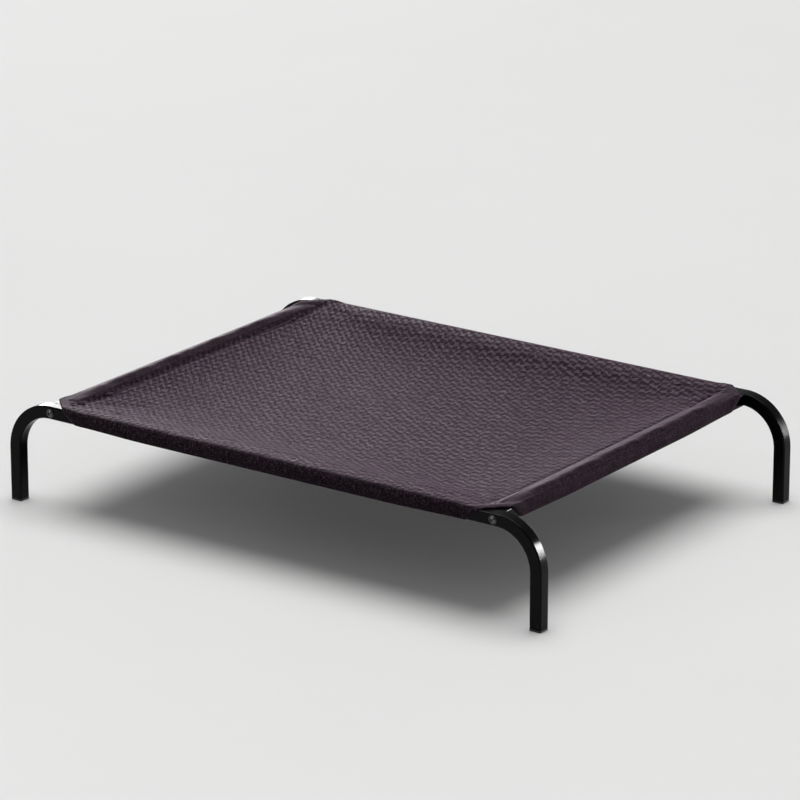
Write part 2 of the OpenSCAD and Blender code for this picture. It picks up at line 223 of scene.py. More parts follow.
class CotStageSettings(bpy.types.PropertyGroup):
    """Camera, floor and lamps"""

    azimuth: FloatProperty(
        name="Azimuth", description="Camera's turn round the cot, from its front towards its right",
        default=math.radians(35.479), subtype="ANGLE")
    elevation: FloatProperty(
        name="Elevation", description="Camera's angle above the floor",
        default=math.radians(18.454), subtype="ANGLE")
    distance: FloatProperty(
        name="Distance", description="Distance from the camera to the point that it aims at",
        default=9.0238, min=1.0, unit="LENGTH")
    aim: FloatVectorProperty(
        name="Aim", description="Point in the middle of the picture",
        default=(-0.1818, 0.2545, 0.0975), size=3, subtype="TRANSLATION", precision=4)
    lens: FloatProperty(
        name="Lens", description="Focal length in millimetres on a 36 mm sensor",
        default=205.65, min=10.0, unit="CAMERA")
    floor_colour: FloatVectorProperty(
        name="Floor", description="Pale floor",
        default=(0.80, 0.80, 0.795), size=3, min=0.0, max=1.0, subtype="COLOR")
    floor_bounce: FloatProperty(
        name="Floor bounce", description="Share of its colour that the floor throws back as soft light",
        default=0.35, min=0.0, max=1.0, subtype="FACTOR")
    floor_size: FloatProperty(
        name="Floor size", description="Side of the square floor",
        default=60.0, min=5.0, unit="LENGTH")
    key: FloatProperty(
        name="Key", description="Strength of the even light from above",
        default=2.2, min=0.0, max=20.0)
    key_spread: FloatProperty(
        name="Key spread", description="Angle over which the key light is spread",
        default=math.radians(50), min=0.0, max=math.pi, subtype="ANGLE")
    key_from: FloatVectorProperty(
        name="Key from", description="Direction that the key light comes from",
        default=(-0.10, 0.14, 0.98), size=3, subtype="DIRECTION")
    sky: FloatProperty(
        name="Sky", description="Strength of the even light from all round",
        default=0.24, min=0.0, max=2.0)
    glow: FloatProperty(
        name="Glow", description="Further strength of the low light behind the cot",
        default=2.0, min=0.0, max=10.0)
    glow_from: FloatVectorProperty(
        name="Glow from", description="Level direction that the low light comes from",
        default=(-0.58, 0.81, 0.0), size=3, subtype="DIRECTION")


def smooth(share):
    """Share from 0 to 1 that starts and ends gently"""
    share = np.clip(share, 0, 1)
    return share * share * (3 - 2 * share)


class CoverShape:
    """Where each point of the flat sheet lies once the sheet is sewn round the rails"""

    # Points of a sleeve's section round one corner of its tube
    TURN_POINTS = 24
    # Power of the panel's sag: the higher, the flatter the middle
    BOWL_POWER = 4
    # Power of the slope below a sleeve: the higher, the later it levels out
    DROP_POWER = 4
    # How far outwards the crest of a sleeve's top lies, where 1 is the middle
    CREST_SKEW = 1.3
    # Rows of stitches, as shares of the hem's width
    ROW_SHARES = (0.25, 0.75)
    # Puckers along a sleeve: height, rate, and shift from one rail to the next
    PUCKERS = ((0.5, 1.0, 2), (0.35, 1.73, 5), (0.25, 2.91, 3))
    # Hem widths from a mouth at which the lift of its hem starts to fade and ends
    LIFT_FADE = (1, 3)
    # Tube widths past the lip, round the tube, at which that lift ends
    LIFT_REACH = 2
    # Flat distance over which the sheet's direction is measured, and the least area that counts in it
    NORMAL_STEP = 2e-4
    LEAST_AREA = 1e-12

    def __init__(self, scene):
        self.cover = cover = scene.cot_cover
        self.stitch = scene.cot_stitch
        # Half the flat stretch across a tube and up it
        self.reach = (TUBE_WIDTH / 2 - cover.tube_corner, TUBE_HEIGHT / 2 - cover.tube_corner)
        # Radius of the fabric round a tube's corner, and its height over the rail's axis
        self.radius = cover.tube_corner + cover.gap + cover.thickness / 2
        self.skin = self.reach[1] + self.radius
        # Where the hems end and the sleeves start, along either axis, and the line of the cut corners
        inset = TUBE_WIDTH / 2 + cover.seam_inset
        self.seam = (END_X - inset, SIDE_Y - inset)
        self.lip = (END_X - self.reach[0], SIDE_Y - self.reach[0])
        self.cut = END_X + SIDE_Y + TUBE_WIDTH - cover.corner_cut
        self.crown = (cover.crown, cover.side_crown)
        self.brow = (cover.brow, 0.0)
        self.drop_run = (cover.drop_run, cover.side_run)
        # Each sleeve's section, the run of fabric at its points, its flats, and half the flat sheet
        self.paths = [self.sleeve_path(axis, inset) for axis in (0, 1)]
        steps = [np.linalg.norm(np.diff(path, axis=0), axis=1) for path in self.paths]
        self.runs = [np.concatenate([[0.0], np.cumsum(step)]) for step in steps]
        self.flats = [k for k, step in enumerate(steps[0][:-1]) if step > self.reach[1]]
        self.half = [self.lip[axis] + self.runs[axis][-1] for axis in (0, 1)]

    def ramp(self, flat, axis):
        """Share of the sleeve's drop at a place along one axis of the panel"""
        down = np.clip((self.lip[axis] - self.brow[axis] - np.abs(flat)) / self.drop_run[axis], 0, 1)
        return down * (1 + (1 - down ** self.DROP_POWER) / self.DROP_POWER)

    def bowl(self, flat, axis):
        """Share of the sag at a place along one axis of the panel"""
        return np.maximum(0, 1 - np.abs(flat / self.seam[axis]) ** self.BOWL_POWER)

    def panel_height(self, s, t):
        """Height of the panel's middle surface above the rails' axes"""
        drop = self.cover.sleeve_drop * self.ramp(s, 0) * self.ramp(t, 1)
        sag = self.cover.sag * self.bowl(s, 0) * self.bowl(t, 1)
        return self.skin - drop - sag

    def arc(self, centre, start, end):
        """Points round a tube's corner, from one angle to another in degrees"""
        turns = np.radians(np.linspace(start, end, self.TURN_POINTS))
        return np.array(centre) + self.radius * np.stack([np.cos(turns), np.sin(turns)], -1)

    def sleeve_path(self, axis, inset):
        """Section of a sleeve as (outwards, up) from its rail's axis: over the tube, under it, to the hem"""
        cover = self.cover
        out, up = self.reach
        low = -up - cover.sleeve_slack
        hem = np.array([cover.hem_width - inset, -inset])
        drop = cover.sleeve_drop * self.ramp((END_X, SIDE_Y)[axis] + hem, axis)
        hem = np.stack([hem, self.skin - drop - cover.thickness - cover.hem_gap], -1)
        to_hem = hem[0] - (-out, low)
        turn = math.atan2(to_hem[1], to_hem[0]) + math.acos(self.radius / np.linalg.norm(to_hem))
        return np.concatenate([
            [(-out, self.skin)],
            self.arc((out, up), 90, 0),
            self.arc((out, low), 0, -90),
            self.arc((-out, low), -90, math.degrees(turn) - 360),
            hem,
        ])

    def stations(self, axis):
        """Grid lines of the flat sheet along one axis, closest where it turns round a tube"""
        cover = self.cover
        lip, seam = self.lip[axis], self.seam[axis]
        inner = np.linspace(-seam, seam, 2 * round(seam / cover.grid_step) + 1)
        brow = np.linspace(seam, lip, round((lip - seam) / cover.sleeve_step) + 1)[1:-1]
        marks = [0.0]
        for start, end in zip(self.runs[axis][:-1], self.runs[axis][1:]):
            pieces = max(1, round((end - start) / cover.sleeve_step))
            marks += [start + (end - start) * (k + 1) / pieces for k in range(pieces)]
        least = self.radius * math.pi / 2 / cover.turn_steps
        keep = [marks[0]]
        for mark in marks[1:-1]:
            if mark - keep[-1] > least and marks[-1] - mark > least:
                keep.append(mark)
        sleeve = np.concatenate([brow, lip + np.array([*keep, marks[-1]])])
        return np.concatenate([-sleeve[::-1], inner, sleeve])

    def place(self, s, t):
        """Middle surface of the sewn sheet at flat places s along and t across the cot"""
        points = np.stack([s, t, RAIL_Z + self.panel_height(s, t)], -1)
        for axis, centre in ((0, END_X), (1, SIDE_Y)):
            flat = (s, t)[axis]
            past = np.abs(flat) - self.lip[axis]
            on = past > 0
            out = np.interp(past, self.runs[axis], self.paths[axis][:, 0])
            up = np.interp(past, self.runs[axis], self.paths[axis][:, 1])
            lowness = np.clip((self.skin - up) / (2 * self.skin), 0, 1)
            up = up + self.cover.sleeve_slack * lowness * (1 - self.looseness(s, t))
            points[on, axis] = (np.sign(flat) * (centre + out))[on]
            points[on, 2] = (RAIL_Z + up)[on]
        return points

    def normal(self, s, t):
        """Direction off the sheet's outer face"""
        step = self.NORMAL_STEP
        along = self.place(s + step, t) - self.place(s - step, t)
        across = self.place(s, t + step) - self.place(s, t - step)
        out = np.cross(along, across)
        return out / np.maximum(np.linalg.norm(out, axis=1), self.LEAST_AREA)[:, None]

    def mouth_distance(self, s, t):
        """Flat distance from the nearest cut corner"""
        return (self.cut - np.abs(s) - np.abs(t)) / math.sqrt(2)

    def looseness(self, s, t):
        """Share of its slack that a sleeve has gained at a distance from its mouth"""
        return smooth(self.mouth_distance(s, t) / self.cover.mouth_snug)

    def sleeve_bow(self, past, axis):
        """How far a sleeve bows off the flats of its tube, by the run of fabric past the lip"""
        bow = np.zeros_like(past)
        for k in self.flats:
            start = self.runs[axis][k] if k else -self.brow[axis]
            share = (past - start) / (self.runs[axis][k + 1] - start)
            height, skew = (self.cover.bulge, 1.0) if k else (self.crown[axis], self.CREST_SKEW)
            bow += height * np.sin(math.pi * np.clip(share, 0, 1) ** skew)
        return bow

    def unevenness(self, run, rail):
        """How full a sleeve is at a place along its rail, about 1"""
        turn = math.tau * run / self.cover.pucker_length
        waves = sum(height * np.sin(rate * turn + shift * rail) for height, rate, shift in self.PUCKERS)
        return 1 + self.cover.pucker * waves

    def mouth_lift(self, s, t):
        """How far the turned hem lifts the fabric at a sleeve's mouth"""
        fades, ends = (widths * self.cover.mouth_hem for widths in self.LIFT_FADE)
        near = smooth((ends - self.mouth_distance(s, t)) / (ends - fades))
        past = np.maximum(np.abs(s) - self.lip[0], np.abs(t) - self.lip[1])
        on_top = np.clip(self.LIFT_REACH - past / TUBE_WIDTH, 0, 1)
        return self.cover.mouth_rise * near * on_top

    def corner_folds(self, s, t):
        """Soft tension folds that fan out over the panel from each corner"""
        cover = self.cover
        ahead = self.lip[0] - np.abs(s)
        beside = self.lip[1] - np.abs(t)
        inside = np.clip(np.minimum(ahead, beside) / cover.seam_inset, 0, 1)
        # Each of the four corners has its own turn
        turn = cover.fold_turn * np.sin(2 * np.sign(s) + np.sign(t))
        spread = np.arctan2(beside, ahead) + turn
        fade = np.exp(-np.hypot(ahead, beside) / cover.fold_length) * inside
        return cover.fold_height * fade * np.cos(cover.fold_count * spread)

    def sewn_rows(self, axis):
        """Flat places of the rows of stitches along one axis: through the panel, and the hem below"""
        shares = np.array(self.ROW_SHARES) * self.cover.hem_width
        return self.seam[axis] + shares, self.half[axis] - shares

    def rise(self, s, t):
        """How far the fabric stands off its plain form"""
        lift = self.mouth_lift(s, t) + self.corner_folds(s, t)
        on_panel = (np.abs(s) < self.lip[0]) & (np.abs(t) < self.lip[1])
        for axis, flat in ((0, s), (1, t)):
            rail = np.sign(flat) + 2 * axis
            fullness = self.looseness(s, t) * self.unevenness((t, s)[axis], rail)
            lift += self.sleeve_bow(np.abs(flat) - self.lip[axis], axis) * fullness
            for row in self.sewn_rows(axis)[0]:
                pull = np.exp(-((np.abs(flat) - row) / self.stitch.groove) ** 2)
                lift -= self.stitch.sink * pull * on_panel
        return lift

    def surface(self, s, t, offset=0.0):
        """Point on the finished sheet, moved off its middle surface"""
        return self.place(s, t) + self.normal(s, t) * (self.rise(s, t) + offset)[:, None]


def grid_faces(count, wide):
    """Quads of a grid of points that is listed line by line"""
    return [
        (i * wide + j, (i + 1) * wide + j, (i + 1) * wide + j + 1, i * wide + j + 1)
        for i in range(count - 1)
        for j in range(wide - 1)
    ]


def mesh_object(name, points, faces):
    """A smooth shaded mesh object in the scene"""
    mesh = bpy.data.meshes.new(name)
    mesh.from_pydata([tuple(p) for p in points], [], faces)
    mesh.shade_smooth()
    mesh.update()
    made = bpy.data.objects.new(name, mesh)
    bpy.context.scene.collection.objects.link(made)
    return made


def aimed_object(name, data, place, towards):
    """A lamp or a camera in the scene, which looks along a direction"""
    made = bpy.data.objects.new(name, data)
    made.location = place
    made.rotation_euler = towards.to_track_quat("-Z", "Y").to_euler()
    bpy.context.scene.collection.objects.link(made)
    return made


def keep_flat_places(made, s, t):
    """Stores each point's place on the flat sheet, which the weave follows"""
    places = np.stack([s, t, np.zeros_like(s)], -1).astype(np.float32)
    attribute = made.data.attributes.new("flat", "FLOAT_VECTOR", "POINT")
    attribute.data.foreach_set("vector", places.ravel())


def thicken(made, thickness):
    """Gives a sheet of fabric its thickness, half to either side"""
    body = made.modifiers.new("fabric thickness", "SOLIDIFY")
    body.thickness = thickness
    body.offset = 0.0


def wear(made, material):
    """Gives an object one material"""
    made.data.materials.clear()
    made.data.materials.append(material)


class Wiring:
    """Adds nodes to a shader tree and joins them"""

    # Sockets of the Mix node that hold its colours
    MIX_COLOURS = (6, 7)
    MIX_RESULT = 2
    # Values between which most of a noise lies
    NOISE_RANGE = (0.3, 0.7)

    def __init__(self, tree):
        self.tree = tree

    def add(self, kind, **values):
        """A new node with its own settings"""
        made = self.tree.nodes.new("ShaderNode" + kind)
        for key, value in values.items():
            setattr(made, key, value)
        return made

    def feed(self, socket, value):
        """Links a socket to another one, or sets its value"""
        if isinstance(value, bpy.types.NodeSocket):
            self.tree.links.new(value, socket)
        else:
            socket.default_value = value

    def fill(self, node, values):
        """Feeds several sockets of a node by their names"""
        for key, value in values.items():
            self.feed(node.inputs[key], value)

    def math(self, operation, first, second=0.0, third=0.0):
        """Result of one operation on up to three values"""
        made = self.add("Math", operation=operation)
        for socket, value in zip(made.inputs, (first, second, third)):
            self.feed(socket, value)
        return made.outputs[0]

    def times(self, first, *others):
        """Product of two or more values"""
        for other in others:
            first = self.math("MULTIPLY", first, other)
        return first

    def stepped(self, along, across, steps):
        """Yarns passed by a row that steps along and across"""
        return self.math("MULTIPLY_ADD", along, steps[0], self.times(across, steps[1]))

    def wave(self, phase):
        """Smooth wave from 0 to 1 that repeats with each whole number of phase"""
        turn = self.times(phase, math.tau)
        return self.math("MULTIPLY_ADD", self.math("COSINE", turn), 0.5, 0.5)

    def remap(self, value, low, high, to_low=0.0, to_high=1.0, kind="SMOOTHSTEP"):
        """Value moved from one range to another, with gentle ends unless told otherwise"""
        made = self.add("MapRange", interpolation_type=kind)
        self.fill(made, {
            "Value": value, "From Min": low, "From Max": high, "To Min": to_low, "To Max": to_high})
        return made.outputs["Result"]

    def between(self, share, first, last):
        """Value that goes evenly from the first to the last as a share goes from 0 to 1"""
        return self.remap(share, 0.0, 1.0, first, last, "LINEAR")

    def spread(self, noise, low, high):
        """Noise that is stretched evenly over a range"""
        return self.remap(noise, *self.NOISE_RANGE, low, high, "LINEAR")

    def mix(self, factor, first, second, blend="MIX"):
        """Two colours mixed by a factor"""
        made = self.add("Mix", data_type="RGBA", blend_type=blend)
        self.feed(made.inputs["Factor"], factor)
        for index, value in zip(self.MIX_COLOURS, (first, second)):
            if not isinstance(value, bpy.types.NodeSocket):
                value = (*value, 1.0)
            self.feed(made.inputs[index], value)
        return made.outputs[self.MIX_RESULT]

    def tint(self, colour, shade):
        """Colour made darker or lighter by a shade about 1"""
        return self.mix(1.0, colour, shade, "MULTIPLY")

    def noise(self, vector, scale, detail=2.0, roughness=0.5):
        """Noise with one scale, or with its own scale along each axis"""
        if isinstance(scale, tuple):
            stretched = self.add("VectorMath", operation="MULTIPLY")
            self.feed(stretched.inputs[0], vector)
            self.feed(stretched.inputs[1], scale)
            vector, scale = stretched.outputs[0], 1.0
        made = self.add("TexNoise")
        self.fill(made, {"Vector": vector, "Scale": scale, "Detail": detail, "Roughness": roughness})
        return made.outputs["Fac"]

    def split(self, vector):
        """The three parts of a vector"""
        made = self.add("SeparateXYZ")
        self.feed(made.inputs[0], vector)
        return made.outputs

    def join(self, x, y):
        """A flat place from its two parts"""
        made = self.add("CombineXYZ")
        self.fill(made, {"X": x, "Y": y})
        return made.outputs[0]

    def place(self):
        """Place on the object, in metres"""
        return self.add("TexCoord").outputs["Object"]

    def bump(self, height, strength, distance):
        """Normal of a relief"""
        made = self.add("Bump")
        self.fill(made, {"Height": height, "Strength": strength, "Distance": distance})
        return made.outputs["Normal"]


def new_group(name, inputs, outputs):
    """A shader node group with inputs of named kinds and float outputs"""
    tree = bpy.data.node_groups.new(name, "ShaderNodeTree")
    for label, kind in inputs.items():
        tree.interface.new_socket(name=label, in_out="INPUT", socket_type="NodeSocket" + kind)
    for label in outputs:
        tree.interface.new_socket(name=label, in_out="OUTPUT", socket_type="NodeSocketFloat")
    return Wiring(tree), tree.nodes.new("NodeGroupInput").outputs, tree.nodes.new("NodeGroupOutput")


def place_group(wires, name, **values):
    """Puts a shared group into a material with its own values"""
    made = wires.add("Group", node_tree=bpy.data.node_groups[name])
    wires.fill(made, {key.replace("_", " "): value for key, value in values.items()})
    return made.outputs


def new_material(name):
    """A material with its wiring and its Principled shader"""
    material = bpy.data.materials.new(name)
    material.use_nodes = True
    return material, Wiring(material.node_tree), material.node_tree.nodes["Principled BSDF"]


# Ribs of the weave: steps along and across, repeat in rib scales, share of the lattice, bow of the rows
RIBS = {
    "falling": {"steps": (4.0, 5.7), "repeat": 2.66, "share": 0.40, "bow": -8.7e-5},
    "steep": {"steps": (6.0, -0.7), "repeat": 2.38, "share": 0.24, "bow": 0.0},
    "level": {"steps": (-1.0, 3.0), "repeat": 2.15, "share": 0.26, "bow": 0.0},
}
# Share of the lattice that is broken dashes, and how far the rows wander, in repeats
DASH_SHARE = 0.6
WANDER = 0.8
# Sums of grain and lattice between which the warp comes on top, and lattices between which a rib rises
WARP_RANGE = (1.18, 1.46)
RIB_RANGE = (0.50, 0.98)
# Yarns across that one crossing's shade spans
CROSSING_YARNS = 3.0
# Heights of a rib, a slub and a yarn
RIB_HEIGHT, SLUB_HEIGHT, YARN_HEIGHT = 0.65, 0.35, 0.15
# Distances past the lip over which the lattice fades on a sleeve, how far it fades, and what it fades to
SLEEVE_FADE = (-0.04, -0.01)
SLEEVE_SHARE = 0.95
SLEEVE_LATTICE = 0.75
# Distances past the lip over which a sleeve's fine relief comes back below its taut top
TAUT_FADE = (0.012, 0.03)
# Tube widths past the lip to which the panel's lattice runs on over the side sleeves
SIDE_RUN_ON = 1.4


def make_weave_group():
    """Mesh weave with a broken lattice of ribs: height, warp on top, streaks and each crossing's shade"""
    wires, given, out = new_group(
        "rib_weave",
        {"Flat": "Vector", "Yarn": "Float", "Rib Yarns": "Float", "Dash Yarns": "Float", "Lip": "Vector"},
        ("Height", "Warp", "Streak", "Speck"))
    flat, pitch = given["Flat"], given["Rib Yarns"]
    places, lips = wires.split(flat)[:2], wires.split(given["Lip"])[:2]
    along, across = (wires.math("DIVIDE", place, given["Yarn"]) for place in places)
    back, up = RIBS["level"]["steps"]
    slide = wires.math("DIVIDE", wires.stepped(along, across, (up, -back)), given["Dash Yarns"])
    climb = wires.math("DIVIDE", wires.stepped(along, across, (back, up)), pitch)
    dashes = wires.noise(wires.join(slide, climb), scale=1.0, roughness=0.65)
    lattice = wires.times(dashes, DASH_SHARE)
    drift = wires.times(wires.noise(flat, scale=40.0), WANDER)
    for rib in RIBS.values():
        bowed = wires.math("MULTIPLY_ADD", wires.times(along, along), rib["bow"], drift)
        repeat = wires.times(pitch, rib["repeat"])
        rows = wires.math("DIVIDE", wires.stepped(along, across, rib["steps"]), repeat)
        wave = wires.wave(wires.math("ADD", bowed, rows))
        lattice = wires.math("MULTIPLY_ADD", wave, rib["share"], lattice)
    past = wires.math("MAXIMUM", *[
        wires.math("SUBTRACT", wires.math("ABSOLUTE", place), lip) for place, lip in zip(places, lips)])
    sleeve = wires.remap(past, *SLEEVE_FADE, 0.0, SLEEVE_SHARE)
    lattice = wires.between(sleeve, lattice, SLEEVE_LATTICE)
    speck = wires.add("TexWhiteNoise", noise_dimensions="2D")
    shared = wires.math("DIVIDE", across, CROSSING_YARNS)
    wires.feed(speck.inputs["Vector"], wires.join(wires.math("FLOOR", along), wires.math("FLOOR", shared)))
    grain = wires.noise(flat, scale=320.0, roughness=0.7)
    warp = wires.remap(wires.math("ADD", grain, lattice), *WARP_RANGE)
    weft = wires.math("SUBTRACT", 1.0, warp)
    yarn = wires.math("ADD", wires.times(wires.wave(along), warp), wires.times(wires.wave(across), weft))
    slub = wires.noise(flat, scale=(420.0, 120.0, 1.0), roughness=0.6)
    fine = wires.math("MULTIPLY_ADD", slub, SLUB_HEIGHT, wires.times(yarn, YARN_HEIGHT))
    taut = wires.times(sleeve, wires.remap(past, *TAUT_FADE, 1.0, 0.0))
    fine = wires.times(fine, wires.math("SUBTRACT", 1.0, taut))
    ribbed = wires.remap(lattice, *RIB_RANGE)
    wires.fill(out, {
        "Height": wires.math("MULTIPLY_ADD", ribbed, RIB_HEIGHT, fine),
        "Warp": warp,
        "Streak": wires.noise(flat, scale=(14.0, 95.0, 1.0), detail=3.0, roughness=0.6),
        "Speck": speck.outputs["Value"],
    })


def make_dust_group():
    """Fine dust that settles on upward surfaces, as a mask"""
    wires, given, out = new_group("settled_dust", {"Place": "Vector", "Amount": "Float"}, ("Mask",))
    upward = wires.split(wires.add("NewGeometry").outputs["Normal"])["Z"]
    flatness = wires.remap(upward, low=0.55, high=1.0)
    cloud = wires.noise(given["Place"], scale=22.0, detail=4.0, roughness=0.6)
    cloud = wires.remap(cloud, low=0.4, high=0.75, to_high=0.5)
    specks = wires.remap(wires.noise(given["Place"], scale=900.0, detail=1.0), low=0.62, high=0.72)
    spread = wires.math("MAXIMUM", cloud, specks)
    wires.fill(out, {"Mask": wires.times(spread, flatness, given["Amount"])})


def make_scuff_group():
    """Scuffs that thin out with height above the floor, as a mask"""
    wires, given, out = new_group("floor_scuffs", {"Place": "Vector", "Reach": "Float"}, ("Mask",))
    height = wires.split(given["Place"])["Z"]
    low = wires.remap(height, 0.0, given["Reach"], to_low=1.0, to_high=0.0)
    scratch = wires.noise(given["Place"], scale=(300.0, 300.0, 60.0), detail=4.0, roughness=0.65)
    wires.fill(out, {"Mask": wires.times(low, wires.remap(scratch, low=0.56, high=0.66))})


# How far a finish's roughness goes below and above its mean
PAINT_SPREAD = (-0.04, 0.05)
STEEL_SPREAD = (-0.08, 0.1)
# Share of a scuff's colour that shows on paint and on plastic
PAINT_SCUFF, PLUG_SCUFF = 0.25, 0.5
# Roughness that dust and scuffs add to the paint
WORN_ROUGHNESS = 0.4


def make_paint(finish):
    """Gloss black paint with a slight orange peel"""
    material, wires, shader = new_material("gloss_black_paint")
    place = wires.place()
    dust = place_group(wires, "settled_dust", Place=place, Amount=0.012)["Mask"]
    scuffs = place_group(wires, "floor_scuffs", Place=place, Reach=0.035)["Mask"]
    cloud = wires.noise(place, scale=9.0, detail=3.0)
    tone = wires.tint(finish.paint, wires.spread(cloud, low=0.75, high=1.25))
    worn = wires.mix(wires.times(scuffs, PAINT_SCUFF), tone, finish.scuff)
    gloss = wires.spread(cloud, *(finish.paint_roughness + part for part in PAINT_SPREAD))
    dulled = wires.times(wires.math("ADD", dust, scuffs), WORN_ROUGHNESS)
    peel = wires.noise(place, scale=420.0)
    wires.fill(shader, {
        "Base Color": wires.mix(dust, worn, finish.dust),
        "Roughness": wires.math("ADD", gloss, dulled),
        "Specular IOR Level": 0.08,
        "Normal": wires.bump(peel, strength=0.10, distance=0.0004),
    })
    return material


def make_steel(name, colour, roughness):
    """Plated steel with fine turning marks"""
    material, wires, shader = new_material(name)
    place = wires.place()
    cloud = wires.noise(place, scale=160.0, detail=3.0)
    grain = wires.noise(place, scale=(2500.0, 300.0, 2500.0))
    wires.fill(shader, {
        "Base Color": wires.tint(colour, wires.spread(cloud, low=0.7, high=1.2)),
        "Metallic": 1.0,
        "Roughness": wires.spread(cloud, *(roughness + part for part in STEEL_SPREAD)),
        "Normal": wires.bump(grain, strength=0.08, distance=0.0002),
    })
    return material


def make_plug_plastic(finish):
    """Matte moulded plastic, scuffed at the floor"""
    material, wires, shader = new_material("moulded_black_plastic")
    place = wires.place()
    scuffs = place_group(wires, "floor_scuffs", Place=place, Reach=0.008)["Mask"]
    grain = wires.noise(place, scale=1400.0)
    wires.fill(shader, {
        "Base Color": wires.mix(wires.times(scuffs, PLUG_SCUFF), finish.plug, finish.scuff),
        "Roughness": wires.spread(grain, low=0.5, high=0.68),
        "Normal": wires.bump(grain, strength=0.2, distance=0.0002),
    })
    return material


def make_fabric(finish, lip):
    """Coated mesh fabric: two yarns, a broken lattice of ribs, painted shade in the weave's hollows and a
    soft sheen
    """
    material, wires, shader = new_material("taupe_mesh_fabric")
    flat = wires.add("Attribute", attribute_name="flat").outputs["Vector"]
    weave = place_group(
        wires, "rib_weave", Flat=flat, Yarn=finish.yarn_pitch, Rib_Yarns=finish.rib_yarns,
        Dash_Yarns=finish.dash_yarns, Lip=(lip[0], lip[1] + SIDE_RUN_ON * TUBE_WIDTH, 0.0))
    yarn = wires.mix(weave["Warp"], finish.weft, finish.warp)
    # Painted shade: the base colour darkens where the weave's relief is low and lightens a little on its
    # raised ribs
    painted_hollow_shade = wires.remap(weave["Height"], low=0.0, high=0.6, to_low=0.7, to_high=1.1, kind="LINEAR")
    broad = wires.spread(wires.noise(flat, scale=7.0, detail=3.0, roughness=0.55), low=0.93, high=1.07)
    streaks = wires.spread(weave["Streak"], low=0.88, high=1.12)
    specks = wires.between(weave["Speck"], 0.5, 1.5)
    tone = wires.tint(yarn, wires.times(painted_hollow_shade, broad, streaks, specks))
    dust = place_group(wires, "settled_dust", Place=wires.place(), Amount=0.02)["Mask"]
    wires.fill(shader, {
        "Base Color": wires.mix(dust, tone, finish.dust),
        "Roughness": wires.between(weave["Warp"], 0.44, 0.34),
        "Specular IOR Level": 0.006,
        "Sheen Weight": 0.52,
        "Sheen Roughness": 0.30,
        "Sheen Tint": (1.0, 0.62, 0.90, 1.0),
        "Normal": wires.bump(weave["Height"], strength=0.9, distance=0.0022),
    })
    return material


def make_thread(finish):
    """Twisted sewing thread, with painted shade and highlight along its twist"""
    material, wires, shader = new_material("sewing_thread")
    twist = wires.wave(wires.noise(wires.place(), scale=1800.0, detail=1.0))
    wires.fill(shader, {
        # Painted shade in the twist's grooves and painted highlight on its crests: the colour follows the
        # twist's relief
        "Base Color": wires.tint(finish.thread, wires.between(twist, 0.7, 1.25)),
        "Roughness": wires.between(twist, 0.45, 0.62),
        "Normal": wires.bump(twist, strength=0.3, distance=0.0002),
    })
    return material


def make_floor_finish(stage):
    """Pale matte floor with a faint mottle, which throws back less light than it shows"""
    material, wires, shader = new_material("pale_floor")
    mottle = wires.spread(wires.noise(wires.place(), scale=1.5, detail=3.0), low=0.985, high=1.0)
    ray = wires.add("LightPath").outputs
    mirrored = wires.math("MAXIMUM", ray["Is Glossy Ray"], ray["Is Transmission Ray"])
    seen = wires.math("MAXIMUM", ray["Is Camera Ray"], mirrored)
    share = wires.times(mottle, wires.between(seen, stage.floor_bounce, 1.0))
    wires.fill(shader, {
        "Base Color": wires.tint(stage.floor_colour, share),
        "Roughness": 0.9,
        "Specular IOR Level": 0.2,
    })
    return material


class COT_OT_dress_frame(bpy.types.Operator):
    """Paints the rails and legs"""

    bl_idname = "cot.dress_frame"
    bl_label = "Paint Frame"

    def execute(self, context):
        paint = make_paint(context.scene.cot_finish)
        for name in (*RAILS, *(f"leg_{corner}" for corner in CORNERS)):
            wear(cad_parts[name], paint)
        return {"FINISHED"}


class COT_OT_dress_fasteners(bpy.types.Operator):
    """Finishes bolts, washers and threaded inserts"""

    bl_idname = "cot.dress_fasteners"
    bl_label = "Finish Fasteners"

    def execute(self, context):
        finish = context.scene.cot_finish
        dark = make_steel("dark_plated_steel", finish.bolt_steel, roughness=0.3)
        bright = make_steel("zinc_plated_steel", finish.insert_steel, roughness=0.35)
        for corner in CORNERS:
            wear(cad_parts[f"bolt_{corner}"], dark)
            wear(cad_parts[f"washer_{corner}"], dark)
            wear(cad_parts[f"insert_{corner}"], bright)
        return {"FINISHED"}


class COT_OT_dress_feet(bpy.types.Operator):
    """Finishes the foot plugs"""

    bl_idname = "cot.dress_feet"
    bl_label = "Finish Foot Plugs"

    def execute(self, context):
        plastic = make_plug_plastic(context.scene.cot_finish)
        for corner in CORNERS:
            wear(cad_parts[f"foot_plug_{corner}"], plastic)
        return {"FINISHED"}


